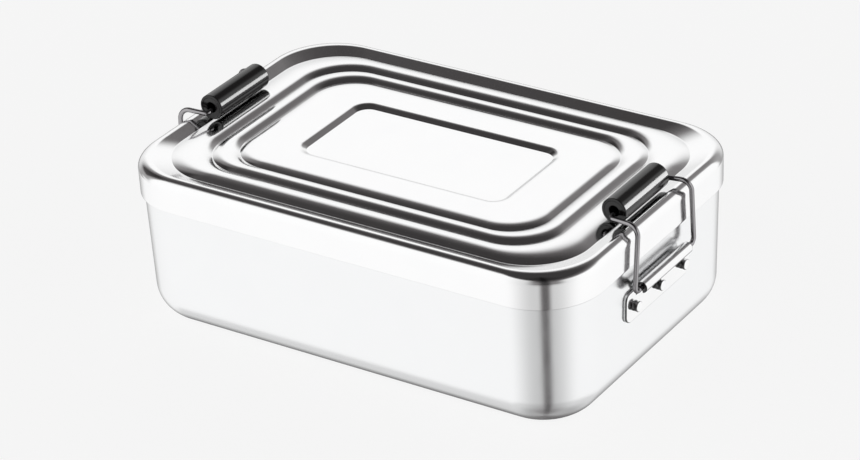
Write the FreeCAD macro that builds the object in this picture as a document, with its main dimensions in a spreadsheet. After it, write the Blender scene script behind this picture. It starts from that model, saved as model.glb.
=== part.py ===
import FreeCAD, Part
import math
import os
import Sketcher
from FreeCAD import Placement, Rotation, Vector

# Lunch box in sheet metal, in millimetres. The origin is the centre of the flat floor that the box
# stands on, +X runs to the right-hand end with its clip, +Y to the back long side and +Z up.

doc = FreeCAD.newDocument("lunch_box")

# ---------------------------------------------------------------- driving dimensions

SIZES = (
    # lid: outside of the skirt, then the sheet that both pressings are made from
    ("lid_half_length", 111.1),
    ("lid_half_width", 75.0),
    ("lid_corner", 28.2),
    ("skirt_foot_height", 59.0),
    ("skirt_lean", 0.15),
    ("sheet", 0.7),
    # pan: outside of the wall carried down to the floor, and how far it has spread at the rim
    ("pan_height", 71.0),
    ("pan_half_length", 107.6),
    ("pan_half_width", 71.5),
    ("pan_corner", 25.2),
    ("pan_spread", 2.2),
    ("pan_floor_radius", 15.2),
    # the inside's inset at the inner floor, which leaves the leaning wall one sheet thick
    ("pan_wall_inset", 0.679),
    # hinge plate, measured from its lower edge and from the wall behind it
    ("plate_foot_height", 32.5),
    ("plate_half_width", 26.3),
    ("plate_height", 14.0),
    ("plate_corner", 3.6),
    ("plate_sheet", 1.2),
    ("knuckle_reach", 3.84),
    ("knuckle_rise", 15.33),
    ("knuckle_radius", 2.5),
    ("knuckle_bore", 1.13),
    ("knuckle_length", 38.0),
    ("knuckle_slit", 0.5),
    ("web_foot", 11.6),
    # rivets
    ("rivet_pitch", 19.7),
    ("rivet_rise", 6.5),
    ("rivet_head_radius", 2.4),
    ("rivet_head_height", 2.3),
    ("rivet_chamfer", 0.4),
    ("rivet_shank_radius", 1.3),
    ("rivet_tail_radius", 2.1),
    ("rivet_tail_height", 0.8),
    # bail wire: half widths and heights of its corners, from the hinge axis
    ("wire_radius", 1.05),
    ("wire_foot_end", 7.0),
    ("wire_foot_half_width", 24.4),
    ("wire_foot_bend", 2.4),
    ("wire_elbow_half_width", 21.9),
    ("wire_elbow_outward", 0.5),
    ("wire_elbow_height", 29.6),
    ("wire_elbow_bend", 4.6),
    ("wire_arm_half_width", 20.4),
    ("wire_arm_height", 29.1),
    ("wire_arm_bend", 1.7),
    ("wire_mouth_half_width", 17.2),
    ("wire_mouth_bend", 3.0),
    # grip roller, its axis measured from the hinge axis
    ("roller_radius", 5.7),
    ("roller_length", 35.4),
    ("roller_bore", 2.12),
    ("roller_flare", 0.9),
    ("roller_edge", 0.5),
    ("roller_inward", 13.1),
    ("roller_height", 31.0),
    ("roller_play", 0.95),
)

# Crest and groove lines pressed into the lid. Each is a rounded rectangle: how far it lies inside the
# skirt at the short ends and along the long sides, its corner radius, and its height.
LID_LINES = (
    ("outer_crest", 4.06, 4.06, 27.7, 74.0),
    ("outer_groove", 10.53, 10.34, 27.0, 71.9),
    ("middle_crest", 21.5, 17.0, 24.5, 74.0),
    ("middle_groove", 26.2, 21.85, 22.0, 72.35),
    ("inner_crest", 30.9, 26.5, 20.5, 74.0),
    ("inner_groove", 35.6, 30.9, 19.0, 72.3),
    ("panel_edge", 41.0, 36.3, 16.0, 73.7),
    ("recess_rim", 58.9, 48.0, 8.2, 73.78),
    ("recess_floor", 62.1, 51.2, 6.0, 72.25),
)
LINE_SIZES = ("ends", "sides", "corner", "height")
EDGE_REACH = 0.01
SHOULDER_STEPS = 5
BEAD_STEPS = 4
# The outer bead's inner side is straight. One step rounds its crest: the share of the width that the
# step takes, and the share of the height it falls.
CREST_ROUND = 0.25
CREST_DROP = 0.14
END_SIDES = (
    ("right", 0.0, ("front", "middle", "back")),
    ("left", 180.0, ("back", "middle", "front")),
)

sheet = doc.addObject("Spreadsheet::Sheet", "Sizes")


def fill_sheet():
    """Write every driving dimension as a plain number with an alias."""
    rows = list(SIZES)
    for name, *values in LID_LINES:
        rows += [(f"{name}_{size}", value) for size, value in zip(LINE_SIZES, values)]
    for row, (alias, value) in enumerate(rows, start=1):
        sheet.set(f"A{row}", alias)
        sheet.set(f"B{row}", str(value))
        sheet.setAlias(f"B{row}", alias)
    doc.recompute()


def total(*names):
    """Sum of the named sizes; a leading minus subtracts one."""
    return sum(-sheet.get(name[1:]) if name[0] == "-" else sheet.get(name) for name in names)


def formula(*names):
    """The same sum as an expression on the sheet."""
    signs = ("-" if name[0] == "-" else "+" for name in names)
    return " ".join(f"{sign} Sizes.{name.lstrip('-')}" for sign, name in zip(signs, names)).lstrip("+ ")


# ---------------------------------------------------------------- sketch helpers

def new_body(label):
    body = doc.addObject("PartDesign::Body", label)
    body.Label = label
    return body


def new_sketch(body, role, name):
    """A sketch on one of the body's own origin planes."""
    plane = next(item for item in body.Origin.OriginFeatures if item.Role == role)
    sketch = body.newObject("Sketcher::SketchObject", name)
    sketch.AttachmentSupport = [(plane, "")]
    sketch.MapMode = "FlatFace"
    return sketch


def hold(sketch, kind, names, geometry, end):
    """Hold a point at a named distance from the sketch's origin; with no names it lies on an axis."""
    if not names:
        axis = {"DistanceX": -2, "DistanceY": -1}[kind]
        sketch.addConstraint(Sketcher.Constraint("PointOnObject", geometry, end, axis))
        return
    index = sketch.addConstraint(Sketcher.Constraint(kind, -1, 1, geometry, end, total(*names)))
    sketch.setExpression(f"Constraints[{index}]", formula(*names))


def pin_point(sketch, geometry, end, across, up):
    hold(sketch, "DistanceX", across, geometry, end)
    hold(sketch, "DistanceY", up, geometry, end)


def draw_outline(sketch, corners):
    """Closed outline of straight lines; each corner is a pair of name tuples."""
    points = [Vector(total(*across), total(*up), 0) for across, up in corners]
    count = len(points)
    lines = [Part.LineSegment(points[i], points[(i + 1) % count]) for i in range(count)]
    first = sketch.addGeometry(lines, False)[0]
    for i, (across, up) in enumerate(corners):
        following = first + (i + 1) % count
        sketch.addConstraint(Sketcher.Constraint("Coincident", first + i, 2, following, 1))
        pin_point(sketch, first + i, 1, across, up)


def draw_circle(sketch, across, up, radius):
    centre = Vector(total(*across), total(*up), 0)
    index = sketch.addGeometry(Part.Circle(centre, Vector(0, 0, 1), total(*radius)), False)
    pin_point(sketch, index, 3, across, up)
    ring = sketch.addConstraint(Sketcher.Constraint("Radius", index, total(*radius)))
    sketch.setExpression(f"Constraints[{ring}]", formula(*radius))


def draw_rounded_rectangle(sketch, left, right, low, high, radius):
    """Rounded rectangle whose four sides lie at signed name sums from the sketch's origin."""
    x_low, x_high = total(*left), total(*right)
    y_low, y_high = total(*low), total(*high)
    bend = total(*radius)
    flat = Vector(0, 0, 1)
    corner_centres = (
        (x_high - bend, y_high - bend, 0.0),
        (x_low + bend, y_high - bend, 90.0),
        (x_low + bend, y_low + bend, 180.0),
        (x_high - bend, y_low + bend, 270.0),
    )
    arcs = []
    for x, y, start in corner_centres:
        circle = Part.Circle(Vector(x, y, 0), flat, bend)
        arcs.append(Part.ArcOfCircle(circle, math.radians(start), math.radians(start + 90)))
    sides = [Part.LineSegment(arcs[i].EndPoint, arcs[(i + 1) % 4].StartPoint) for i in range(4)]
    first = sketch.addGeometry(arcs + sides, False)[0]
    top, side_left, bottom, side_right = range(first + 4, first + 8)
    for i in range(4):
        sketch.addConstraint(Sketcher.Constraint("Tangent", first + i, 2, first + 4 + i, 1))
        sketch.addConstraint(Sketcher.Constraint("Tangent", first + 4 + i, 2, first + (i + 1) % 4, 1))
        if i:
            sketch.addConstraint(Sketcher.Constraint("Equal", first, first + i))
    sketch.addConstraint(Sketcher.Constraint("Horizontal", top))
    sketch.addConstraint(Sketcher.Constraint("Vertical", side_left))
    limits = (
        ("DistanceX", side_left, left),
        ("DistanceX", side_right, right),
        ("DistanceY", bottom, low),
        ("DistanceY", top, high),
    )
    for kind, line, names in limits:
        hold(sketch, kind, names, line, 1)
    index = sketch.addConstraint(Sketcher.Constraint("Radius", first, bend))
    sketch.setExpression(f"Constraints[{index}]", formula(*radius))


def pad(body, sketch, name, length, midplane=False):
    """Pad a sketch by a named length, to one side or half to each side."""
    feature = body.newObject("PartDesign::Pad", name)
    feature.Profile = sketch
    feature.Midplane = midplane
    feature.setExpression("Length", formula(*length))
    sketch.Visibility = False
    return feature


def pocket(body, sketch, name, length):
    """Cut a sketch half to each side by a named length."""
    feature = body.newObject("PartDesign::Pocket", name)
    feature.Profile = sketch
    feature.Midplane = True
    feature.setExpression("Length", formula(*length))
    return feature


def revolve(body, sketch, name):
    """Turn a sketch all the way round its horizontal axis."""
    feature = body.newObject("PartDesign::Revolution", name)
    feature.Profile = sketch
    feature.ReferenceAxis = (sketch, ["H_Axis"])
    feature.Angle = 360
    return feature


# ---------------------------------------------------------------- lid

def rounded_ring(ends, sides, corner, height):
    """Rounded rectangle inside the skirt by `ends` in X and `sides` in Y, as one closed wire."""
    half_x = total("lid_half_length") - ends
    half_y = total("lid_half_width") - sides
    arcs = []
    for quarter, (sign_x, sign_y) in enumerate(((1, 1), (-1, 1), (-1, -1), (1, -1))):
        centre = Vector(sign_x * (half_x - corner), sign_y * (half_y - corner), height)
        circle = Part.Circle(centre, Vector(0, 0, 1), corner)
        start = math.radians(90 * quarter)
        arcs.append(Part.ArcOfCircle(circle, start, start + math.pi / 2))
    edges = []
    for arc, following in zip(arcs, arcs[1:] + arcs[:1]):
        edges += [arc.toShape(), Part.LineSegment(arc.EndPoint, following.StartPoint).toShape()]
    return Part.Wire(edges)


def blend(first, second, share):
    return tuple(a + (b - a) * share for a, b in zip(first, second))


def ramp(groove, crest):
    """Points from a groove up to a crest: straight, with one step that rounds the crest."""
    plan = blend(groove, crest, 1 - CREST_ROUND)[:3]
    return [groove, plan + (crest[3] - CREST_DROP * (crest[3] - groove[3]),), crest]


def bead_side(low_line, crest_line):
    """Points from a groove up to a crest along a round arc that is level at the crest."""
    rise = crest_line[3] - low_line[3]
    width = abs(crest_line[1] - low_line[1])
    steepness = rise / width
    bend = (1 + steepness**2) / (2 * steepness)
    points = []
    for step in range(BEAD_STEPS + 1):
        along = step / BEAD_STEPS
        from_crest = 1 - along
        drop = bend - math.sqrt(bend**2 - from_crest**2)
        plan = blend(low_line, crest_line, along)[:3]
        points.append(plan + (crest_line[3] - drop * width,))
    return points


def lid_section():
    """The lid's outside, from the foot of the skirt to the floor of the recess in the middle."""
    line = {name: tuple(total(f"{name}_{size}") for size in LINE_SIZES) for name, *_ in LID_LINES}
    corner = total("lid_corner")
    lean = total("skirt_lean")
    shoulder = total("outer_crest_sides")
    spring_height = total("outer_crest_height") - shoulder
    points = [(lean, lean, corner - lean, total("skirt_foot_height"))]
    for step in range(SHOULDER_STEPS):
        turn = math.radians(90 * step / SHOULDER_STEPS)
        inset = shoulder * (1 - math.cos(turn))
        plan_corner = corner + (line["outer_crest"][2] - corner) * inset / shoulder
        points.append((inset, inset, plan_corner, spring_height + shoulder * math.sin(turn)))
    points += ramp(line["outer_groove"], line["outer_crest"])[:0:-1]
    for bead, groove_before in (("middle", "outer_groove"), ("inner", "middle_groove")):
        crest = line[f"{bead}_crest"]
        points += bead_side(line[groove_before], crest)[:-1]
        points += bead_side(line[f"{bead}_groove"], crest)[:0:-1]
    points += bead_side(line["inner_groove"], line["panel_edge"])
    points += [line["recess_rim"], line["recess_floor"]]
    return points


def inside_section(section):
    """The same line one sheet thickness further in, square to the section along the long sides."""
    skin = total("sheet")
    moved = []
    for i, (ends, sides, corner, height) in enumerate(section):
        before = section[max(i - 1, 0)]
        after = section[min(i + 1, len(section) - 1)]
        run = after[1] - before[1]
        rise = after[3] - before[3]
        length = math.hypot(run, rise)
        inward = skin * rise / length
        moved.append((ends + inward, sides + inward, corner - inward, height - skin * run / length))
    # the lowest ring runs on below the skirt for a clean cut, and the top one is level with its floor
    ends, sides, corner, height = section[0]
    moved[0] = (ends + skin, sides + skin, corner - skin, height - skin)
    moved[-1] = moved[-1][:3] + (section[-1][3] - skin,)
    return moved


def lid_form(label, section):
    form = doc.addObject("Part::Feature", label)
    form.Label = label
    form.Shape = Part.makeLoft([rounded_ring(*ring) for ring in section], True, True)
    return form


def make_lid():
    section = lid_section()
    lid = doc.addObject("Part::Cut", "lid")
    lid.Label = "lid"
    lid.Base = lid_form("lid_outside", section)
    lid.Tool = lid_form("lid_inside", inside_section(section))
    return lid


# ---------------------------------------------------------------- pan

def negate(name):
    return name[1:] if name[0] == "-" else f"-{name}"


def pan_form(label, lift, inset):
    """Solid block with the pan's leaning walls and rounded floor edge, from `lift` up, `inset` smaller."""
    body = new_body(label)
    sketch = new_sketch(body, "XY_Plane", f"{label}_footprint")
    half_length = ("pan_half_length",) + inset
    half_width = ("pan_half_width",) + inset
    left = tuple(negate(name) for name in half_length)
    front = tuple(negate(name) for name in half_width)
    draw_rounded_rectangle(sketch, left, half_length, front, half_width, ("pan_corner",) + inset)
    if lift:
        sketch.setExpression("AttachmentOffset.Base.z", formula(*lift))
    block = pad(body, sketch, f"{label}_block", ("pan_height",))
    block.setExpression("TaperAngle", "atan(Sizes.pan_spread / Sizes.pan_height)")
    doc.recompute()
    lowest = block.Shape.BoundBox.ZMin
    edges = [f"Edge{i}" for i, edge in enumerate(block.Shape.Edges, start=1)
             if edge.BoundBox.ZMax < lowest + EDGE_REACH]
    rounding = body.newObject("PartDesign::Fillet", f"{label}_floor_edge")
    rounding.Base = (block, edges)
    rounding.setExpression("Radius", formula("pan_floor_radius", *(negate(name) for name in lift)))
    return body


def make_pan(drills):
    outside = pan_form("pan_outside", (), ())
    inside = pan_form("pan_inside", ("sheet",), ("-pan_wall_inset",))
    cutters = doc.addObject("Part::MultiFuse", "pan_cutters")
    cutters.Shapes = [inside] + drills
    pan = doc.addObject("Part::Cut", "pan")
    pan.Label = "pan"
    pan.Base = outside
    pan.Tool = cutters
    return pan


# ---------------------------------------------------------------- clip placement

def wall_lean():
    """Angle by which the pan's end walls lean outwards, in degrees."""
    return math.degrees(math.atan2(total("pan_spread"), total("pan_height")))


def plate_seat(turn):
    """Where a hinge plate sits: on the end wall, square to it. `turn` carries it to the other end."""
    foot = total("plate_foot_height")
    reach = total("pan_half_length") + foot * math.tan(math.radians(wall_lean()))
    seat = Placement(Vector(reach, 0, foot), Rotation(Vector(0, 1, 0), wall_lean()))
    return Placement(Vector(), Rotation(Vector(0, 0, 1), turn)).multiply(seat)


def hinge_seat(turn):
    """Where a clip's hinge axis is, with the clip upright."""
    local = Vector(total("knuckle_reach"), 0, total("knuckle_rise"))
    axis = plate_seat(0).multVec(local)
    return Placement(Vector(), Rotation(Vector(0, 0, 1), turn)).multiply(Placement(axis, Rotation()))


def rivet_seat(turn, row):
    local = Vector(-total("sheet", "rivet_tail_height"), row * total("rivet_pitch"), total("rivet_rise"))
    return plate_seat(turn).multiply(Placement(local, Rotation()))


# ---------------------------------------------------------------- hinge plate

def make_hinge_plate(side, turn):
    """Plate on the wall, and its top edge joggled out and rolled into an open knuckle."""
    body = new_body(f"{side}_hinge_plate")
    sketch = new_sketch(body, "YZ_Plane", f"{side}_plate_outline")
    width = ("plate_half_width",)
    draw_rounded_rectangle(sketch, ("-plate_half_width",), width, (), ("plate_height",), ("plate_corner",))
    pad(body, sketch, f"{side}_plate", ("plate_sheet",))

    sketch = new_sketch(body, "XZ_Plane", f"{side}_web_outline")
    back = ("knuckle_reach", "-knuckle_radius")
    draw_outline(sketch, (
        ((), ("web_foot",)),
        (("plate_sheet",), ("web_foot",)),
        (back + ("plate_sheet",), ("knuckle_rise",)),
        (back, ("knuckle_rise",)),
        ((), ("plate_height",)),
    ))
    pad(body, sketch, f"{side}_web", ("knuckle_length",), midplane=True)

    sketch = new_sketch(body, "XZ_Plane", f"{side}_knuckle_circle")
    draw_circle(sketch, ("knuckle_reach",), ("knuckle_rise",), ("knuckle_radius",))
    pad(body, sketch, f"{side}_knuckle", ("knuckle_length",), midplane=True)

    sketch = new_sketch(body, "XZ_Plane", f"{side}_bore_circle")
    draw_circle(sketch, ("knuckle_reach",), ("knuckle_rise",), ("knuckle_bore",))
    pocket(body, sketch, f"{side}_bore", ("knuckle_length", "knuckle_radius"))

    sketch = new_sketch(body, "XZ_Plane", f"{side}_slit_outline")
    slit_low = ("knuckle_rise", "-knuckle_radius", "-knuckle_slit")
    slit_right = ("knuckle_reach", "knuckle_slit")
    draw_outline(sketch, (
        (("knuckle_reach",), slit_low),
        (slit_right, slit_low),
        (slit_right, ("knuckle_rise",)),
        (("knuckle_reach",), ("knuckle_rise",)),
    ))
    pocket(body, sketch, f"{side}_slit", ("knuckle_length", "knuckle_radius"))

    sketch = new_sketch(body, "YZ_Plane", f"{side}_rivet_holes")
    for row in (("-rivet_pitch",), (), ("rivet_pitch",)):
        draw_circle(sketch, row, ("rivet_rise",), ("rivet_shank_radius",))
    pocket(body, sketch, f"{side}_holes", ("plate_sheet", "plate_sheet", "plate_sheet"))
    body.Placement = plate_seat(turn)
    return body


# ---------------------------------------------------------------- rivets

def make_rivet(side, turn, name, row):
    """Flat-headed rivet with a round tail inside the pan. Its own X axis is the rivet's axis."""
    body = new_body(f"{side}_rivet_{name}")
    sketch = new_sketch(body, "XZ_Plane", f"{side}_{name}_rivet_outline")
    tail = ("rivet_tail_height",)
    face = tail + ("sheet", "plate_sheet")
    top = face + ("rivet_head_height",)
    draw_outline(sketch, (
        ((), ()),
        ((), ("rivet_tail_radius", "-rivet_chamfer")),
        (("rivet_chamfer",), ("rivet_tail_radius",)),
        (tail, ("rivet_tail_radius",)),
        (tail, ("rivet_shank_radius",)),
        (face, ("rivet_shank_radius",)),
        (face, ("rivet_head_radius",)),
        (top + ("-rivet_chamfer",), ("rivet_head_radius",)),
        (top, ("rivet_head_radius", "-rivet_chamfer")),
        (top, ()),
    ))
    revolve(body, sketch, f"{side}_{name}_rivet_turned")
    body.Placement = rivet_seat(turn, row)
    return body


def make_drill(side, turn, name, row):
    """Hole for one rivet through the pan's wall."""
    drill = doc.addObject("Part::Cylinder", f"{side}_drill_{name}")
    drill.setExpression("Radius", formula("rivet_shank_radius"))
    drill.setExpression("Height", formula("plate_sheet", "sheet", "rivet_tail_height"))
    drill.Placement = rivet_seat(turn, row).multiply(Placement(Vector(), Rotation(Vector(0, 1, 0), 90)))
    return drill


# ---------------------------------------------------------------- bail wire

def rounded_path(corners):
    """Open path through (point, bend radius) corners, straight runs joined by tangent arcs."""
    edges = []
    start = corners[0][0]
    for i in range(1, len(corners) - 1):
        point, bend = corners[i]
        back = (corners[i - 1][0] - point).normalize()
        ahead = (corners[i + 1][0] - point).normalize()
        half_turn = back.getAngle(ahead) / 2
        trim = bend / math.tan(half_turn)
        middle = (back + ahead).normalize() * (bend / math.sin(half_turn) - bend)
        arc_start = point + back * trim
        arc_end = point + ahead * trim
        edges.append(Part.LineSegment(start, arc_start).toShape())
        edges.append(Part.Arc(arc_start, point + middle, arc_end).toShape())
        start = arc_end
    edges.append(Part.LineSegment(start, corners[-1][0]).toShape())
    return Part.Wire(edges)


def bail_corners():
    """Corners of one bail, from its hinge axis: foot, elbow, arm, roller and back to the other foot."""
    inward = total("roller_inward")
    seat = total("roller_height", "-roller_play")
    half = [
        (Vector(0, -total("wire_foot_end"), 0), 0),
        (Vector(0, -total("wire_foot_half_width"), 0), total("wire_foot_bend")),
        (Vector(total("wire_elbow_outward"), -total("wire_elbow_half_width"), total("wire_elbow_height")),
         total("wire_elbow_bend")),
        (Vector(-inward, -total("wire_arm_half_width"), total("wire_arm_height")), total("wire_arm_bend")),
        (Vector(-inward, -total("wire_mouth_half_width"), seat), total("wire_mouth_bend")),
    ]
    mirrored = [(Vector(point.x, -point.y, point.z), bend) for point, bend in reversed(half)]
    return half + mirrored


def make_bail_wire(side, turn):
    path = doc.addObject("Part::Feature", f"{side}_bail_path")
    path.Shape = rounded_path(bail_corners())
    section = doc.addObject("Part::Circle", f"{side}_bail_section")
    section.setExpression("Radius", formula("wire_radius"))
    start = Vector(0, -total("wire_foot_end"), 0)
    section.Placement = Placement(start, Rotation(Vector(1, 0, 0), 90))
    doc.recompute()
    wire = doc.addObject("Part::Sweep", f"{side}_bail_wire")
    wire.Label = f"{side}_bail_wire"
    wire.Sections = [section]
    wire.Spine = (path, [f"Edge{i}" for i in range(1, len(path.Shape.Edges) + 1)])
    wire.Solid = True
    wire.Frenet = False
    wire.Placement = hinge_seat(turn)
    return wire


# ---------------------------------------------------------------- grip roller

def make_grip_roller(side, turn):
    """Tube with softened rims and a flared mouth at each end. Its own X axis is the turning axis."""
    body = new_body(f"{side}_grip_roller")
    sketch = new_sketch(body, "XZ_Plane", f"{side}_roller_outline")
    end = ("roller_length",)
    outer = ("roller_radius",)
    draw_outline(sketch, (
        (("roller_flare",), ("roller_bore",)),
        ((), ("roller_bore", "roller_flare")),
        ((), outer + ("-roller_edge",)),
        (("roller_edge",), outer),
        (end + ("-roller_edge",), outer),
        (end, outer + ("-roller_edge",)),
        (end, ("roller_bore", "roller_flare")),
        (end + ("-roller_flare",), ("roller_bore",)),
    ))
    revolve(body, sketch, f"{side}_roller_turned")
    half = total("roller_length") / 2
    local = Placement(Vector(-total("roller_inward"), -half, total("roller_height")),
                      Rotation(Vector(0, 0, 1), 90))
    body.Placement = hinge_seat(turn).multiply(local)
    return body


# ---------------------------------------------------------------- assembly and export

def build():
    fill_sheet()
    parts = [make_lid()]
    drills = []
    for side, turn, rivet_names in END_SIDES:
        parts.append(make_hinge_plate(side, turn))
        for row, name in enumerate(rivet_names, start=-1):
            parts.append(make_rivet(side, turn, name, row))
            drills.append(make_drill(side, turn, name, row))
        parts.append(make_bail_wire(side, turn))
        parts.append(make_grip_roller(side, turn))
    parts.append(make_pan(drills))
    doc.recompute()
    return parts


def check(parts):
    """Stop before writing anything if an object failed or a piece is not one sound solid."""
    for item in doc.Objects:
        if {"Invalid", "Error"} & set(item.State):
            raise RuntimeError(f"{item.Label} failed: {item.State}")
    for part in parts:
        shape = part.Shape
        if shape.isNull() or not shape.isValid() or len(shape.Solids) != 1:
            raise RuntimeError(f"{part.Label} is not one valid solid")


def export(parts):
    os.makedirs("parts", exist_ok=True)
    for part in parts:
        part.Shape.exportStep(os.path.join("parts", f"{part.Label}.step"))
        box = part.Shape.BoundBox
        print(f"{part.Label:22s} {part.Shape.Volume:10.1f} mm3  "
              f"x {box.XMin:8.2f} {box.XMax:8.2f}  y {box.YMin:8.2f} {box.YMax:8.2f}  "
              f"z {box.ZMin:8.2f} {box.ZMax:8.2f}")


pieces = build()
check(pieces)
export(pieces)
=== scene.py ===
import math

import bpy
from mathutils import Matrix, Vector


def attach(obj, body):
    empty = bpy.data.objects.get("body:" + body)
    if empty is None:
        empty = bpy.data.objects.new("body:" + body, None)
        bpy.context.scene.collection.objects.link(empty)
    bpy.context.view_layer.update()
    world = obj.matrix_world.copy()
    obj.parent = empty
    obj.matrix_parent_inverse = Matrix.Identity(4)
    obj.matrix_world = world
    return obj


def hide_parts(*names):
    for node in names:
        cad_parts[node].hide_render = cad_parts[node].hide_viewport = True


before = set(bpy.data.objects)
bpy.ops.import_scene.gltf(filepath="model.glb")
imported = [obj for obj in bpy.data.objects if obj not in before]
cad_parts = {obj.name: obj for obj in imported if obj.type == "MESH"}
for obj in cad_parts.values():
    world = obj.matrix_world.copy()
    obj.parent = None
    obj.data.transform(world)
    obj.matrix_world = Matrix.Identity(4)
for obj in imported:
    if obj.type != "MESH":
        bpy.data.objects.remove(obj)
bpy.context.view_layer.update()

# Looks for the metal lunch box. Lengths in this script are millimetres in the frame's own axes;
# MM turns them into Blender's metres where a mesh, light or camera is made.

MM = 0.001

# ---------------------------------------------------------------- sizes shared by the pieces

LID_HALF = (111.1, 75.0)
LID_CORNER = 28.2
SKIRT_FOOT = 59.0
SKIRT_LEAN = 0.15
SHEET = 0.7

# Pressed lines of the lid: inset at the short ends, inset at the long sides, corner radius, height.
OUTER_CREST = (4.06, 4.06, 27.7, 74.0)
OUTER_GROOVE = (10.53, 10.34, 27.0, 71.9)
MIDDLE_CREST = (21.5, 17.0, 24.5, 74.0)
MIDDLE_GROOVE = (26.2, 21.85, 22.0, 72.35)
INNER_CREST = (30.9, 26.5, 20.5, 74.0)
INNER_GROOVE = (35.6, 30.9, 19.0, 72.3)
PANEL_EDGE = (41.0, 36.3, 16.0, 73.7)
RECESS_RIM = (58.4, 47.5, 8.6, 73.72)
RECESS_FLOOR = (62.1, 51.2, 6.0, 72.25)
# Share of a slope's width that is rounded at its crest, where the rest of the slope is straight.
OUTER_ROUND = 0.14
RECESS_ROUND = 0.6

PAN_HALF = (107.6, 71.5)
PAN_CORNER = 25.2
PAN_HEIGHT = 71.0
PAN_SPREAD = 2.2
PAN_RADIUS = 15.2
RIM_ROUND = 0.3
WALL_LEAN = math.atan2(PAN_SPREAD, PAN_HEIGHT)

PLATE_FOOT = 32.5
PLATE_HALF_WIDTH = 26.3
PLATE_HEIGHT = 14.0
PLATE_CORNER = 3.6
PLATE_SHEET = 1.2
PLATE_ROUND = 0.45
# The knuckle's centre, out from the wall and up from the plate's foot.
KNUCKLE = (3.84, 15.33)
KNUCKLE_MEAN = 1.84
KNUCKLE_SHEET = 1.3
KNUCKLE_HALF = 19.0
# The sheet rolls clockwise over the wire: the angle it starts from and how far it turns.
ROLL_FROM = 178.0
ROLL_TURN = 256.0
RIVET_PITCH = 19.7
RIVET_RISE = 6.5

WIRE_RADIUS = 1.05
ROLLER_RADIUS = 5.7
ROLLER_HALF = 17.7
ROLLER_BORE = 2.12
ROLLER_INWARD = 13.1
ROLLER_HEIGHT = 31.0
# Corners of the near half of the wire, from the knuckle's centre, each with its bend radius.
BAIL_HALF = (
    ((0.0, -7.0, 0.0), 0.0),
    ((0.0, -24.4, 0.0), 2.4),
    ((0.5, -21.9, 29.6), 4.6),
    ((-ROLLER_INWARD, -20.4, 29.1), 1.7),
    ((-ROLLER_INWARD, -17.2, ROLLER_HEIGHT - 0.95), 3.0),
)

CORNER_STEPS = 28
SIDE_STEPS = 10
BEAD_STEPS = 14
ROUND_STEPS = 16
ROLL_STEPS = 28
PLATE_ROUND_STEPS = 4
SOFT_STEPS = 5
RIVET_SIDES = 40
ROLLER_SIDES = 96
WIRE_SIDES = 20


# ---------------------------------------------------------------- mesh helpers

def add_mesh(name, verts, faces, material, flats=False):
    """Smooth-shaded mesh from points in millimetres; `flats` keeps broad faces flat beside their rounds."""
    mesh = bpy.data.meshes.new(name)
    mesh.from_pydata([(x * MM, y * MM, z * MM) for x, y, z in verts], [], faces)
    mesh.polygons.foreach_set("use_smooth", [True] * len(mesh.polygons))
    mesh.update()
    mesh.materials.append(material)
    piece = bpy.data.objects.new(name, mesh)
    bpy.context.scene.collection.objects.link(piece)
    if flats:
        piece.modifiers.new("flats", "WEIGHTED_NORMAL").keep_sharp = False
    return piece


def stand_for(piece, body, slot, *nodes):
    """The piece moves with the body and hides the CAD nodes; `slot` is not used."""
    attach(piece, body)
    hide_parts(*nodes)
    return piece


def rounded_rectangle(half_x, half_y, corner, height):
    """Points of a rounded rectangle, always equally many, from the +X end of its first arc."""
    points = []
    for quarter, (sign_x, sign_y) in enumerate(((1, 1), (-1, 1), (-1, -1), (1, -1))):
        centre_x = sign_x * (half_x - corner)
        centre_y = sign_y * (half_y - corner)
        for step in range(CORNER_STEPS + 1):
            turn = math.radians(90 * (quarter + step / CORNER_STEPS))
            points.append((centre_x + corner * math.cos(turn), centre_y + corner * math.sin(turn), height))
    with_sides = []
    for i, point in enumerate(points):
        with_sides.append(point)
        following = points[(i + 1) % len(points)]
        if i % (CORNER_STEPS + 1) == CORNER_STEPS:
            for step in range(1, SIDE_STEPS):
                share = step / SIDE_STEPS
                with_sides.append(tuple(a + (b - a) * share for a, b in zip(point, following)))
    return with_sides


def skin(rings, cap_first=False, cap_last=False):
    """Vertices and faces of the surface through closed rings that have equal numbers of points."""
    count = len(rings[0])
    verts = [point for ring in rings for point in ring]
    faces = []
    for row in range(len(rings) - 1):
        low, high = row * count, (row + 1) * count
        for i in range(count):
            following = (i + 1) % count
            faces.append((low + i, low + following, high + following, high + i))
    if cap_first:
        faces.append(tuple(reversed(range(count))))
    if cap_last:
        start = (len(rings) - 1) * count
        faces.append(tuple(range(start, start + count)))
    return verts, faces


def place(verts, matrix):
    return [tuple(matrix @ Vector(point)) for point in verts]


def lathe(profile, steps):
    """Surface of (along, radius) points turned about the X axis; the profile's two ends are joined."""
    rings = []
    for step in range(steps):
        turn = 2 * math.pi * step / steps
        rings.append([(x, r * math.cos(turn), r * math.sin(turn)) for x, r in profile])
    verts = [point for ring in rings for point in ring]
    count = len(profile)
    faces = []
    for step in range(steps):
        here, there = step * count, (step + 1) % steps * count
        for i in range(count):
            following = (i + 1) % count
            faces.append((here + i, there + i, there + following, here + following))
    return verts, faces


def soft_corner(before, corner, after, reach):
    """Points of a small round that starts and ends `reach` from the corner it replaces."""
    corner, before, after = Vector(corner), Vector(before), Vector(after)
    start = corner + (before - corner).normalized() * reach
    end = corner + (after - corner).normalized() * reach
    points = []
    for step in range(SOFT_STEPS + 1):
        share = step / SOFT_STEPS
        first = start.lerp(corner, share)
        points.append(tuple(first.lerp(corner.lerp(end, share), share)))
    return points


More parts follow.
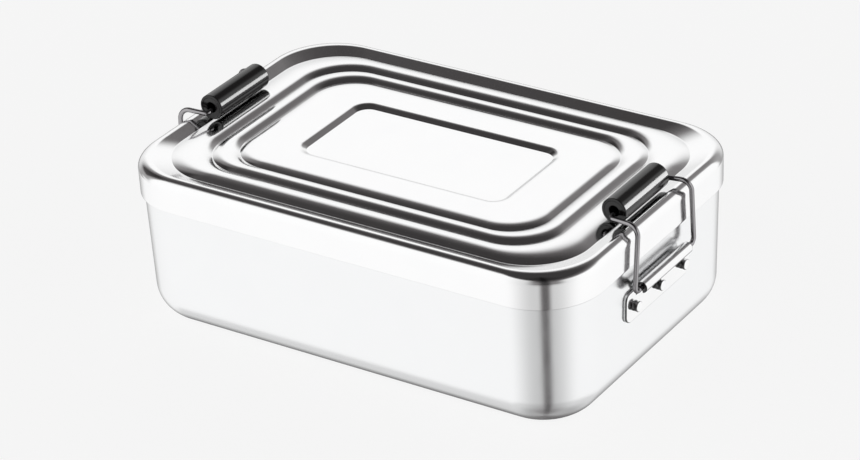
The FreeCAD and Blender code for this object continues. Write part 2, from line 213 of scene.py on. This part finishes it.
def soft_section(corners):
    """Closed section line: each corner is (along, radius, rounding)."""
    points = []
    count = len(corners)
    for i, (x, r, rounding) in enumerate(corners):
        if rounding:
            before, after = corners[i - 1][:2], corners[(i + 1) % count][:2]
            points += soft_corner(before, (x, r), after, rounding)
        else:
            points.append((x, r))
    return points


# ---------------------------------------------------------------- lid

def mix(first, second, share):
    """The line that lies a share of the way from the first pressed line to the second."""
    return tuple(a + (b - a) * share for a, b in zip(first, second))


def bead_side(groove, crest, round_share=1.0):
    """From a groove up to a crest: straight, then a round arc that is level at the crest.

    The arc takes `round_share` of the width. The first step is short, to keep the crease sharp.
    """
    width = abs(crest[1] - groove[1])
    rise = crest[3] - groove[3]
    reach = width * round_share
    # the slope at which arc and straight together climb the rise, found by repeated substitution
    half_tan = 0.0
    for _ in range(30):
        spare = 1 - half_tan**2
        half_tan = rise * spare / (reach * spare + 2 * (width - reach))
    slope = 2 * math.atan(half_tan)
    radius = reach / math.sin(slope)
    shares = [0.0, 0.03] + [step / BEAD_STEPS for step in range(1, BEAD_STEPS + 1)]
    if round_share < 1:
        shares += [1 - round_share * step / BEAD_STEPS for step in range(1, BEAD_STEPS + 1)]
    points = []
    for share in sorted(set(shares)):
        away = (1 - share) * width
        if away > reach:
            drop = radius * (1 - math.cos(slope)) + (away - reach) * math.tan(slope)
        else:
            drop = radius - math.sqrt(radius**2 - away**2)
        points.append(mix(groove, crest, share)[:3] + (crest[3] - drop,))
    return points


def lid_section():
    """Outside of the lid from the foot of the skirt to the floor of the recess.

    Each point is a rounded rectangle like the pressed lines above.
    """
    shoulder = OUTER_CREST[1]
    spring = OUTER_CREST[3] - shoulder
    foot_corner = LID_CORNER - SKIRT_LEAN
    points = [
        (SKIRT_LEAN + 0.03, SKIRT_LEAN + 0.03, foot_corner, SKIRT_FOOT),
        (SKIRT_LEAN, SKIRT_LEAN, foot_corner, SKIRT_FOOT + 0.06),
        (SKIRT_LEAN * 0.97, SKIRT_LEAN * 0.97, foot_corner, SKIRT_FOOT + 0.4),
        (0.02, 0.02, LID_CORNER, spring - 1.0),
    ]
    for step in range(ROUND_STEPS):
        turn = math.radians(90 * step / ROUND_STEPS)
        inset = shoulder * (1 - math.cos(turn))
        corner = LID_CORNER + (OUTER_CREST[2] - LID_CORNER) * inset / shoulder
        points.append((inset, inset, corner, spring + shoulder * math.sin(turn)))
    points += bead_side(OUTER_GROOVE, OUTER_CREST, OUTER_ROUND)[:0:-1]
    points += bead_side(OUTER_GROOVE, MIDDLE_CREST)[:-1]
    points += bead_side(MIDDLE_GROOVE, MIDDLE_CREST)[:0:-1]
    points += bead_side(MIDDLE_GROOVE, INNER_CREST)[:-1]
    points += bead_side(INNER_GROOVE, INNER_CREST)[:0:-1]
    points += bead_side(INNER_GROOVE, PANEL_EDGE)
    points.append(mix(PANEL_EDGE, RECESS_RIM, 0.5))
    points += bead_side(RECESS_FLOOR, RECESS_RIM, RECESS_ROUND)[::-1]
    # two more lines on the flat floor: one that keeps the crease sharp, one to close the surface on
    ends, sides, corner, height = RECESS_FLOOR
    points += [(ends + 0.15, sides + 0.15, corner - 0.1, height), (ends + 2, sides + 2, corner - 1, height)]
    return points


def inner_section(section):
    """The lid's inside, one sheet thickness behind the outside."""
    moved = []
    for i, (ends, sides, corner, height) in enumerate(section):
        before = section[max(i - 1, 0)]
        after = section[min(i + 1, len(section) - 1)]
        run, rise = after[1] - before[1], after[3] - before[3]
        length = math.hypot(run, rise)
        inward, down = SHEET * rise / length, SHEET * run / length
        moved.append((ends + inward, sides + inward, max(corner - inward, 0.5), height - down))
    moved[0] = (SKIRT_LEAN + SHEET, SKIRT_LEAN + SHEET, moved[0][2], SKIRT_FOOT)
    return moved


def lid_rings(section):
    return [rounded_rectangle(LID_HALF[0] - ends, LID_HALF[1] - sides, corner, height)
            for ends, sides, corner, height in section]


def make_lid(material):
    outside = lid_section()
    inside = inner_section(outside)
    rings = lid_rings(inside)[::-1] + lid_rings(outside)
    verts, faces = skin(rings, cap_first=True, cap_last=True)
    return stand_for(add_mesh("lid_shell", verts, faces, material), "lid", "lid", "lid")


# ---------------------------------------------------------------- pan

def pan_section(inset):
    """Half lengths and heights of the pan's outside, or of its inside when inset by the sheet."""
    radius = PAN_RADIUS - inset
    half = PAN_HALF[0] - inset
    centre = half + PAN_RADIUS * math.tan(WALL_LEAN) - radius / math.cos(WALL_LEAN)
    if inset:
        centre -= inset * math.tan(WALL_LEAN)
    levels = [(centre - 2.0, inset)]
    for step in range(ROUND_STEPS + 1):
        turn = -math.pi / 2 + (math.pi / 2 - WALL_LEAN) * step / ROUND_STEPS
        levels.append((centre + radius * math.cos(turn), PAN_RADIUS + radius * math.sin(turn)))
    wall_foot = levels[-1][1]
    top = PAN_HEIGHT - RIM_ROUND
    for share in (0.25, 0.5, 0.75, 1.0):
        height = wall_foot + (top - wall_foot) * share
        levels.append((half + height * math.tan(WALL_LEAN), height))
    return levels


def make_pan(material):
    outside = pan_section(0.0)
    inside = pan_section(SHEET)
    lip_out, lip_in = outside[-1][0], inside[-1][0]
    lip = [
        (lip_out - 0.08, PAN_HEIGHT - 0.1),
        (lip_out - 0.25, PAN_HEIGHT),
        (lip_in + 0.25, PAN_HEIGHT),
        (lip_in + 0.08, PAN_HEIGHT - 0.1),
    ]
    rings = []
    for half_x, height in outside + lip + inside[::-1]:
        grown = half_x - PAN_HALF[0]
        corner = max(PAN_CORNER + grown, 1.0)
        rings.append(rounded_rectangle(half_x, PAN_HALF[1] + grown, corner, height))
    verts, faces = skin(rings, cap_first=True, cap_last=True)
    return stand_for(add_mesh("pan_shell", verts, faces, material), "pan", "pan", "pan")


# ---------------------------------------------------------------- clip placement

def end_turn(side):
    """The left end is the right one turned half round."""
    return Matrix.Rotation(math.pi if side == "left" else 0.0, 4, "Z")


def plate_seat(side):
    """The plate's frame: foot of the plate on the end wall, X square out of it."""
    reach = PAN_HALF[0] + PLATE_FOOT * math.tan(WALL_LEAN)
    seat = Matrix.Translation((reach, 0, PLATE_FOOT)) @ Matrix.Rotation(WALL_LEAN, 4, "Y")
    return end_turn(side) @ seat


def hinge_seat(side):
    """The wire's frame: on the axis of the knuckle, upright."""
    axis = plate_seat("right") @ Vector((KNUCKLE[0], 0, KNUCKLE[1]))
    return end_turn(side) @ Matrix.Translation(axis)


# ---------------------------------------------------------------- hinge plate

def plate_slab():
    """The plate standing on its lower edge, back face on x = 0, with rounded outer edges."""
    levels = [(0.0, 0.0)]
    for step in range(PLATE_ROUND_STEPS + 1):
        turn = math.pi / 2 * step / PLATE_ROUND_STEPS
        x = PLATE_SHEET - PLATE_ROUND + PLATE_ROUND * math.sin(turn)
        levels.append((x, PLATE_ROUND * (1 - math.cos(turn))))
    levels.append((PLATE_SHEET, PLATE_ROUND + 0.8))
    rings = []
    middle = PLATE_HEIGHT / 2
    for x, inset in levels:
        corner = max(PLATE_CORNER - inset, 0.4)
        ring = rounded_rectangle(PLATE_HALF_WIDTH - inset, middle - inset, corner, 0)
        rings.append([(x, y, z + middle) for y, z, _ in ring])
    return skin(rings, cap_first=True, cap_last=True)


def knuckle_strip():
    """Centre line of the sheet that leaves the plate and rolls round the wire, in the XZ plane."""
    line = [(PLATE_SHEET / 2, KNUCKLE[1] - 4.4), (PLATE_SHEET / 2, KNUCKLE[1] - 3.0)]
    line.append((KNUCKLE[0] - KNUCKLE_MEAN - 0.25, KNUCKLE[1] - 0.9))
    for step in range(ROLL_STEPS + 1):
        turn = math.radians(ROLL_FROM - ROLL_TURN * step / ROLL_STEPS)
        x = KNUCKLE[0] + KNUCKLE_MEAN * math.cos(turn)
        z = KNUCKLE[1] + KNUCKLE_MEAN * math.sin(turn)
        line.append((x, z))
    return line


def strip_section(line, thickness):
    """Closed outline of a bent sheet: out along one face and back along the other."""
    outer, inner = [], []
    for i, point in enumerate(line):
        before, after = line[max(i - 1, 0)], line[min(i + 1, len(line) - 1)]
        run, rise = after[0] - before[0], after[1] - before[1]
        length = math.hypot(run, rise)
        across = (-rise / length * thickness / 2, run / length * thickness / 2)
        outer.append((point[0] + across[0], point[1] + across[1]))
        inner.append((point[0] - across[0], point[1] - across[1]))
    return outer + inner[::-1]


def extrude_section(section, half_length, margin=0.18):
    """The section drawn out along Y, with a ring close to each end that keeps the ends crisp."""
    rings = []
    for y in (-half_length, -half_length + margin, 0.0, half_length - margin, half_length):
        rings.append([(x, y, z) for x, z in section])
    return skin(rings, cap_first=True, cap_last=True)


def make_hinge_plate(side, material):
    verts, faces = plate_slab()
    roll_verts, roll_faces = extrude_section(strip_section(knuckle_strip(), KNUCKLE_SHEET), KNUCKLE_HALF)
    offset = len(verts)
    faces = faces + [tuple(offset + i for i in face) for face in roll_faces]
    verts = place(verts + roll_verts, plate_seat(side))
    piece = add_mesh(f"{side}_plate_and_knuckle", verts, faces, material, flats=True)
    return stand_for(piece, "pan", "hinge_plate", f"{side}_hinge_plate")


# ---------------------------------------------------------------- rivets

def make_rivet(side, name, row, material):
    """Slightly waisted flat head outside, thin flat tail inside the pan."""
    wall = SHEET + PLATE_SHEET
    section = soft_section((
        (-0.8, 0.0, 0.0),
        (-0.8, 2.1, 0.35),
        (0.0, 2.1, 0.0),
        (0.0, 1.3, 0.0),
        (wall, 1.3, 0.0),
        (wall, 2.36, 0.1),
        (wall + 1.0, 2.22, 0.5),
        (wall + 1.9, 2.4, 0.3),
        (wall + 2.3, 2.15, 0.2),
        (wall + 2.3, 0.0, 0.0),
    ))
    verts, faces = lathe(section, RIVET_SIDES)
    seat = plate_seat(side) @ Matrix.Translation((-SHEET, row * RIVET_PITCH, RIVET_RISE))
    piece = add_mesh(f"{side}_{name}_rivet", place(verts, seat), faces, material, flats=True)
    return stand_for(piece, "pan", "rivet", f"{side}_rivet_{name}")


# ---------------------------------------------------------------- bail wire

def bail_line():
    """Points along the wire: straight runs joined by round bends."""
    mirrored = tuple(((x, -y, z), bend) for (x, y, z), bend in reversed(BAIL_HALF))
    corners = [(Vector(point), bend) for point, bend in BAIL_HALF + mirrored]
    line = [corners[0][0]]
    for i in range(1, len(corners) - 1):
        point, bend = corners[i]
        back = (corners[i - 1][0] - point).normalized()
        ahead = (corners[i + 1][0] - point).normalized()
        half_turn = back.angle(ahead) / 2
        centre = point + (back + ahead).normalized() * bend / math.sin(half_turn)
        first = point + back * bend / math.tan(half_turn) - centre
        axis = back.cross(ahead).normalized()
        turn = -(math.pi - 2 * half_turn)
        steps = max(4, int(abs(turn) * 9))
        for step in range(steps + 1):
            line.append(centre + Matrix.Rotation(turn * step / steps, 3, axis) @ first)
    line.append(corners[-1][0])
    return line


def tube(line, radius):
    """Tube round a line, its section carried along without twisting."""
    rings = []
    side = Vector((0, 0, 1))
    for i, point in enumerate(line):
        ahead = (line[min(i + 1, len(line) - 1)] - line[max(i - 1, 0)]).normalized()
        side = (side - ahead * side.dot(ahead)).normalized()
        up = ahead.cross(side)
        ring = []
        for step in range(WIRE_SIDES):
            turn = 2 * math.pi * step / WIRE_SIDES
            ring.append(tuple(point + (side * math.cos(turn) + up * math.sin(turn)) * radius))
        rings.append(ring)
    return skin(rings, cap_first=True, cap_last=True)


def make_bail_wire(side, material):
    verts, faces = tube(bail_line(), WIRE_RADIUS)
    piece = add_mesh(f"{side}_wire", place(verts, hinge_seat(side)), faces, material)
    return stand_for(piece, f"{side}_clip", "wire", f"{side}_bail_wire")


# ---------------------------------------------------------------- grip roller

def make_grip_roller(side, material):
    """Moulded tube: softened rims, end faces sunk a little inside them and a bevelled bore."""
    face = ROLLER_HALF - 0.12
    half = [
        (ROLLER_HALF - 6.0, ROLLER_BORE, 0.0),
        (ROLLER_HALF - 0.9, ROLLER_BORE, 0.4),
        (face, 2.35, 0.25),
        (face, 4.4, 0.05),
        (ROLLER_HALF, 4.6, 0.08),
        (ROLLER_HALF, ROLLER_RADIUS, 0.5),
    ]
    corners = half + [(-x, r, rounding) for x, r, rounding in reversed(half)]
    verts, faces = lathe(soft_section(corners), ROLLER_SIDES)
    centre = Matrix.Translation((-ROLLER_INWARD, 0, ROLLER_HEIGHT)) @ Matrix.Rotation(math.pi / 2, 4, "Z")
    piece = add_mesh(f"{side}_roller", place(verts, hinge_seat(side) @ centre), faces, material, flats=True)
    return stand_for(piece, f"{side}_roller", "grip", f"{side}_grip_roller")


# ---------------------------------------------------------------- materials

class Nodes:
    """Short way to add nodes to a tree."""

    def __init__(self, tree):
        self.tree = tree

    def add(self, kind, **values):
        node = self.tree.nodes.new(kind)
        for name, value in values.items():
            setattr(node, name, value)
        return node

    def link(self, source, target):
        self.tree.links.new(source, target)

    def stretch(self, vector, scale):
        node = self.add("ShaderNodeMapping")
        node.inputs["Scale"].default_value = scale
        self.link(vector, node.inputs["Vector"])
        return node.outputs["Vector"]

    def parts(self, vector):
        node = self.add("ShaderNodeSeparateXYZ")
        self.link(vector, node.inputs["Vector"])
        return node.outputs

    def noise(self, vector, scale, detail=2.0, roughness=0.5):
        node = self.add("ShaderNodeTexNoise")
        node.inputs["Scale"].default_value = scale
        node.inputs["Detail"].default_value = detail
        node.inputs["Roughness"].default_value = roughness
        self.link(vector, node.inputs["Vector"])
        return node.outputs["Fac"]

    def remap(self, value, low, high, to_low, to_high, smooth=False):
        node = self.add("ShaderNodeMapRange")
        node.interpolation_type = "SMOOTHSTEP" if smooth else "LINEAR"
        for name, number in zip(("From Min", "From Max", "To Min", "To Max"), (low, high, to_low, to_high)):
            node.inputs[name].default_value = number
        self.link(value, node.inputs["Value"])
        return node.outputs["Result"]

    def math(self, operation, first, second=None):
        node = self.add("ShaderNodeMath", operation=operation)
        for socket, value in zip(node.inputs, (first, second)):
            if isinstance(value, (int, float)):
                socket.default_value = value
            elif value is not None:
                self.link(value, socket)
        return node.outputs["Value"]

    def mix_colour(self, share, first, second):
        node = self.add("ShaderNodeMix", data_type="RGBA")
        self.link(share, node.inputs["Factor"])
        if isinstance(first, tuple):
            node.inputs["A"].default_value = (*first, 1)
        else:
            self.link(first, node.inputs["A"])
        node.inputs["B"].default_value = (*second, 1)
        return node.outputs["Result"]

    def bump(self, height, distance, normal=None):
        node = self.add("ShaderNodeBump")
        node.inputs["Distance"].default_value = distance
        node.inputs["Strength"].default_value = 1.0
        self.link(height, node.inputs["Height"])
        if normal is not None:
            self.link(normal, node.inputs["Normal"])
        return node.outputs["Normal"]


def new_material(name):
    material = bpy.data.materials.new(name)
    material.use_nodes = True
    nodes = Nodes(material.node_tree)
    shader = material.node_tree.nodes["Principled BSDF"]
    where = nodes.add("ShaderNodeTexCoord").outputs["Object"]
    return material, nodes, shader, where


def polished_steel(name, dark, bright, roughness, grain, wave, edge=0.9, painted_shade=None):
    """Bright rolled sheet: fine grain along X, slow waviness and faint wiped patches.

    `grain` and `wave` are the depths of the bumps in metres, and `edge` is how bright the metal stays
    where it is seen edge on. With a shade colour given, faces that look along Y or downward take it
    as painted shade: the plate's edges, the knuckle's ends and the flanks of the rivets.
    """
    material, nodes, shader, where = new_material(name)
    shader.inputs["Metallic"].default_value = 1.0
    shader.inputs["Specular Tint"].default_value = (edge, edge, edge, 1)
    fine = nodes.noise(nodes.stretch(where, (0.35, 1.0, 1.0)), 1900.0, 3.0, 0.6)
    slow = nodes.noise(where, 22.0, 1.0)
    wiped = nodes.noise(where, 60.0, 4.0, 0.6)
    colour = nodes.mix_colour(wiped, dark, bright)
    # faces that look along Y or downward take the dark colour: painted shade on edges and undersides
    if painted_shade:
        facing = nodes.parts(nodes.add("ShaderNodeNewGeometry").outputs["Normal"])
        ends = nodes.remap(nodes.math("ABSOLUTE", facing["Y"]), 0.45, 0.85, 0.0, 1.0, smooth=True)
        under = nodes.remap(facing["Z"], -0.45, -0.12, 1.0, 0.0, smooth=True)
        shaded_faces = nodes.math("MAXIMUM", ends, under)
        colour = nodes.mix_colour(shaded_faces, colour, painted_shade)
    nodes.link(colour, shader.inputs["Base Color"])
    nodes.link(nodes.remap(wiped, 0.3, 0.7, roughness * 0.85, roughness * 1.2), shader.inputs["Roughness"])
    nodes.link(nodes.bump(fine, grain, normal=nodes.bump(slow, wave)), shader.inputs["Normal"])
    return material


def black_plastic():
    """Glossy moulded plastic with a faint satin skin and hairline rubbing along its length."""
    material, nodes, shader, where = new_material("black_plastic")
    rubbed = nodes.noise(nodes.stretch(where, (1.0, 0.06, 1.0)), 1500.0, 3.0, 0.65)
    skin_grain = nodes.noise(where, 2600.0, 2.0)
    colour = nodes.mix_colour(rubbed, (0.003, 0.003, 0.003), (0.009, 0.008, 0.008))
    nodes.link(colour, shader.inputs["Base Color"])
    nodes.link(nodes.remap(rubbed, 0.3, 0.7, 0.1, 0.17), shader.inputs["Roughness"])
    shader.inputs["IOR"].default_value = 1.5
    shader.inputs["Specular IOR Level"].default_value = 0.5
    nodes.link(nodes.bump(skin_grain, 0.000004), shader.inputs["Normal"])
    return material


# ---------------------------------------------------------------- studio

# Metres and degrees, but the lens and the sensor in millimetres and the strip's power in watts.
CAMERA_AZIMUTH = 34.105
CAMERA_ELEVATION = 28.652
CAMERA_ROLL = -2.929
CAMERA_DISTANCE = 1.4320
CAMERA_AIM = (-0.0015, 0.0, 0.0354)
CAMERA_LENS = 140.8
SENSOR_WIDTH = 36.0
STRIP_POWER = 21.0
STRIP_SIZE = (0.55, 1.05)
STRIP_PLACE = (1.667, 1.855, 0.255)
STRIP_AIM = (0.0, 0.0, 0.08)

# Brightness of the plain backdrop, of the white banks and of the ceiling.
BACKDROP = 0.93
WHITE = 1.06
CEILING = 0.042


def camera_basis():
    """Right, up and back of the rolled camera."""
    azimuth, elevation = math.radians(CAMERA_AZIMUTH), math.radians(CAMERA_ELEVATION)
    back = Vector((
        math.sin(azimuth) * math.cos(elevation),
        -math.cos(azimuth) * math.cos(elevation),
        math.sin(elevation),
    ))
    right = Vector((math.cos(azimuth), math.sin(azimuth), 0))
    up = back.cross(right)
    roll = math.radians(CAMERA_ROLL)
    rolled_right = right * math.cos(roll) + up * math.sin(roll)
    rolled_up = up * math.cos(roll) - right * math.sin(roll)
    return rolled_right, rolled_up, back


def make_camera():
    right, up, back = camera_basis()
    data = bpy.data.cameras.new("camera")
    data.lens = CAMERA_LENS
    data.sensor_width = SENSOR_WIDTH
    data.clip_start = 0.05
    data.clip_end = 50.0
    camera = bpy.data.objects.new("camera", data)
    camera.matrix_world = Matrix((
        (right.x, up.x, back.x, CAMERA_AIM[0] + back.x * CAMERA_DISTANCE),
        (right.y, up.y, back.y, CAMERA_AIM[1] + back.y * CAMERA_DISTANCE),
        (right.z, up.z, back.z, CAMERA_AIM[2] + back.z * CAMERA_DISTANCE),
        (0, 0, 0, 1),
    ))
    bpy.context.scene.collection.objects.link(camera)
    bpy.context.scene.camera = camera


def band(nodes, value, low, high, soft_low, soft_high):
    """1 between low and high, falling softly to 0 over the given widths on either side."""
    rising = nodes.remap(value, low - soft_low, low, 0.0, 1.0, smooth=True)
    falling = nodes.remap(value, high, high + soft_high, 1.0, 0.0, smooth=True)
    return nodes.math("MULTIPLY", rising, falling)


def directions(nodes):
    """Elevation and bearing in degrees; the viewer stands at bearing 0, and right is positive."""
    turned = nodes.add("ShaderNodeVectorRotate", rotation_type="Z_AXIS")
    turned.inputs["Angle"].default_value = -math.radians(CAMERA_AZIMUTH)
    nodes.link(nodes.add("ShaderNodeTexCoord").outputs["Generated"], turned.inputs["Vector"])
    parts = nodes.parts(turned.outputs["Vector"])
    elevation = nodes.math("DEGREES", nodes.math("ARCSINE", parts["Z"]))
    toward = nodes.math("MULTIPLY", parts["Y"], -1.0)
    bearing = nodes.math("DEGREES", nodes.math("ARCTAN2", parts["X"], toward))
    return elevation, bearing


def light_above(nodes, elevation, bearing, off_back):
    """Light from above the table.

    A dark ceiling over a pale haze, with a darker gap at the left and a glow low down at both sides,
    then a white bank on each side and the white sweep behind.
    """
    haze = nodes.remap(elevation, 15.0, 62.0, 0.38, CEILING, smooth=True)
    left_gap = nodes.math("MULTIPLY", band(nodes, bearing, -142.0, -121.0, 10.0, 9.0),
                          band(nodes, elevation, 22.0, 44.0, 11.0, 11.0))
    haze = nodes.math("MULTIPLY", haze, nodes.remap(left_gap, 0.0, 1.0, 1.0, 0.18))
    side_glow = nodes.math("MULTIPLY", nodes.remap(off_back, 42.0, 62.0, 0.0, 1.0, smooth=True),
                           nodes.remap(elevation, -14.0, 14.0, 0.9, 0.0, smooth=True))
    haze = nodes.math("MAXIMUM", haze, side_glow)

    # the white sweep behind narrows upward and greys toward the table
    narrowing = nodes.remap(elevation, 5.0, 46.0, 34.0, 11.0)
    across = nodes.math("DIVIDE", off_back, narrowing)
    sweep = nodes.math("MULTIPLY", nodes.remap(across, 0.7, 1.5, 1.0, 0.0, smooth=True),
                       nodes.remap(elevation, 33.0, 49.0, 1.0, 0.0, smooth=True))
    lower_sweep = nodes.math("MULTIPLY", nodes.remap(elevation, -14.0, -1.0, 0.3, 1.0, smooth=True),
                             nodes.remap(elevation, 0.0, 24.0, 0.74, 1.0, smooth=True))
    sweep = nodes.math("MULTIPLY", sweep, lower_sweep)
    left = nodes.math("MULTIPLY", band(nodes, bearing, -98.0, -30.0, 12.0, 20.0),
                      nodes.remap(elevation, 42.0, 56.0, 1.0, 0.0, smooth=True))
    right = nodes.math("MULTIPLY", band(nodes, bearing, 40.0, 116.0, 20.0, 9.0),
                       nodes.remap(elevation, 28.0, 44.0, 1.0, 0.0, smooth=True))
    white = nodes.math("MAXIMUM", sweep, nodes.math("MAXIMUM", left, right))
    level = nodes.math("ADD", haze, nodes.math("MULTIPLY", white, nodes.math("SUBTRACT", WHITE, haze)))

    # the thin grey join where the sweep meets the table
    join = nodes.math("MULTIPLY", band(nodes, elevation, -16.0, -9.0, 8.0, 5.0),
                      nodes.remap(off_back, 12.0, 34.0, 0.6, 0.0, smooth=True))
    return nodes.math("MULTIPLY", level, nodes.math("SUBTRACT", 1.0, join))


def light_below(nodes, elevation, bearing, off_back):
    """Light from the white table, which greys in two steps toward the box and is grey behind it."""
    lowered = nodes.math("ADD", elevation, nodes.remap(bearing, -88.0, -55.0, 9.0, 0.0, smooth=True))
    far = nodes.remap(lowered, -47.0, -37.0, 0.72, 1.0, smooth=True)
    near = nodes.remap(lowered, -70.0, -50.0, 0.6, 1.0, smooth=True)
    behind = nodes.remap(off_back, 12.0, 52.0, 0.46, 1.05, smooth=True)
    return nodes.math("MULTIPLY", far, nodes.math("MULTIPLY", near, behind))


def make_surroundings():
    """The studio as the metal sees it, described by bearing from the viewer and elevation.

    The viewer leaves a dark gap, a little to the right of bearing 0. The view itself shows a plain
    pale backdrop.
    """
    world = bpy.data.worlds.new("studio")
    bpy.context.scene.world = world
    world.use_nodes = True
    nodes = Nodes(world.node_tree)
    elevation, bearing = directions(nodes)
    off_front = nodes.math("ABSOLUTE", bearing)
    off_back = nodes.math("SUBTRACT", 180.0, off_front)

    above = light_above(nodes, elevation, bearing, off_back)
    table = light_below(nodes, elevation, bearing, off_back)
    below = nodes.remap(elevation, -27.0, -20.0, 1.0, 0.0, smooth=True)
    level = nodes.math("ADD", nodes.math("MULTIPLY", table, below),
                       nodes.math("MULTIPLY", above, nodes.math("SUBTRACT", 1.0, below)))

    gap_side = nodes.remap(off_front, 14.0, 66.0, 0.62, 1.0, smooth=True)
    off_core = nodes.math("ABSOLUTE", nodes.math("SUBTRACT", bearing, 3.0))
    gap_core = nodes.remap(off_core, 3.0, 13.0, 0.2, 1.0, smooth=True)
    level = nodes.math("MULTIPLY", level, nodes.math("MULTIPLY", gap_side, gap_core))

    background = world.node_tree.nodes["Background"]
    nodes.link(level, background.inputs["Strength"])
    tint = nodes.mix_colour(nodes.remap(level, 0.05, 0.5, 0.0, 1.0), (1.0, 0.94, 0.95), (1.0, 1.0, 1.0))
    nodes.link(tint, background.inputs["Color"])

    plain = nodes.add("ShaderNodeBackground")
    plain.inputs["Strength"].default_value = BACKDROP
    paths = nodes.add("ShaderNodeLightPath")
    choice = nodes.add("ShaderNodeMixShader")
    nodes.link(paths.outputs["Is Camera Ray"], choice.inputs["Fac"])
    nodes.link(background.outputs["Background"], choice.inputs[1])
    nodes.link(plain.outputs["Background"], choice.inputs[2])
    nodes.link(choice.outputs["Shader"], world.node_tree.nodes["World Output"].inputs["Surface"])


def make_strip_light(rollers):
    """Tall soft light off to the right that draws one streak along each black roller.

    It is linked to the rollers, so the metal doesn't show it.
    """
    light = bpy.data.lights.new("strip_light", "AREA")
    light.shape = "RECTANGLE"
    light.size, light.size_y = STRIP_SIZE
    light.energy = STRIP_POWER
    lamp = bpy.data.objects.new("strip_light", light)
    lamp.location = STRIP_PLACE
    lamp.rotation_euler = (Vector(STRIP_AIM) - lamp.location).to_track_quat("-Z", "Y").to_euler()
    bpy.context.scene.collection.objects.link(lamp)
    lit = bpy.data.collections.new("strip_lit")
    for roller in rollers:
        lit.objects.link(roller)
    lamp.light_linking.receiver_collection = lit


def stage_plane(name, half, height, material):
    mesh = bpy.data.meshes.new(name)
    corners = [(-half, -half, height), (half, -half, height), (half, half, height), (-half, half, height)]
    mesh.from_pydata(corners, [], [(0, 1, 2, 3)])
    mesh.materials.append(material)
    plane = bpy.data.objects.new(name, mesh)
    bpy.context.scene.collection.objects.link(plane)
    return plane


def make_floor():
    """Pale table, lit almost evenly; its part in reflections is left to the surroundings."""
    material, _, shader, _ = new_material("pale_table")
    shader.inputs["Base Color"].default_value = (0.12, 0.12, 0.12, 1)
    shader.inputs["Roughness"].default_value = 1.0
    shader.inputs["Specular IOR Level"].default_value = 0.0
    shader.inputs["Emission Color"].default_value = (1, 1, 1, 1)
    shader.inputs["Emission Strength"].default_value = 0.875
    plane = stage_plane("table", 8.0, -0.0002, material)
    plane.visible_glossy = False


def make_contact_shade():
    """The dark strip of table under the pan's rounded edge, which only the metal's reflections show."""
    material, nodes, shader, where = new_material("contact_shade")
    parts = nodes.parts(where)
    reach = []
    for axis, half in (("X", PAN_HALF[0]), ("Y", PAN_HALF[1])):
        inner = (half - PAN_RADIUS - 10.0) * MM
        outside = nodes.math("SUBTRACT", nodes.math("ABSOLUTE", parts[axis]), inner)
        reach.append(nodes.math("POWER", nodes.math("MAXIMUM", outside, 0.0), 2.0))
    distance = nodes.math("SQRT", nodes.math("ADD", *reach))
    cover = nodes.remap(distance, 12 * MM, 24 * MM, 1.0, 0.0, smooth=True)
    shader.inputs["Base Color"].default_value = (0, 0, 0, 1)
    shader.inputs["Roughness"].default_value = 1.0
    shader.inputs["Emission Color"].default_value = (1, 1, 1, 1)
    shader.inputs["Emission Strength"].default_value = 0.06
    nodes.link(cover, shader.inputs["Alpha"])
    plane = stage_plane("contact_shade", 0.2, -0.0001, material)
    plane.visible_camera = False
    plane.visible_diffuse = False
    plane.visible_shadow = False


# ---------------------------------------------------------------- the scene

lid_steel = polished_steel("lid_steel", (0.91, 0.91, 0.915), (0.96, 0.96, 0.96),
                           roughness=0.12, grain=0.000003, wave=0.00003)
pan_steel = polished_steel("pan_steel", (0.87, 0.875, 0.88), (0.925, 0.93, 0.935),
                           roughness=0.19, grain=0.000005, wave=0.00003)
# the fittings' dark colour on edges and undersides is painted shade
fittings = polished_steel("polished_fittings", (0.88, 0.88, 0.885), (0.94, 0.94, 0.94),
                          roughness=0.1, grain=0.000002, wave=0.0, painted_shade=(0.13, 0.13, 0.13))
wire_steel = polished_steel("drawn_wire", (0.30, 0.29, 0.30), (0.46, 0.45, 0.46),
                            roughness=0.11, grain=0.000002, wave=0.0, edge=0.2)
plastic = black_plastic()

make_lid(lid_steel)
make_pan(pan_steel)
rollers = []
for end in ("right", "left"):
    make_hinge_plate(end, fittings)
    names = ("front", "middle", "back") if end == "right" else ("back", "middle", "front")
    for place_in_row, rivet_name in enumerate(names, start=-1):
        make_rivet(end, rivet_name, place_in_row, fittings)
    make_bail_wire(end, wire_steel)
    rollers.append(make_grip_roller(end, plastic))

make_floor()
make_contact_shade()
make_surroundings()
make_strip_light(rollers)
make_camera()
bpy.context.scene.view_settings.view_transform = "Standard"
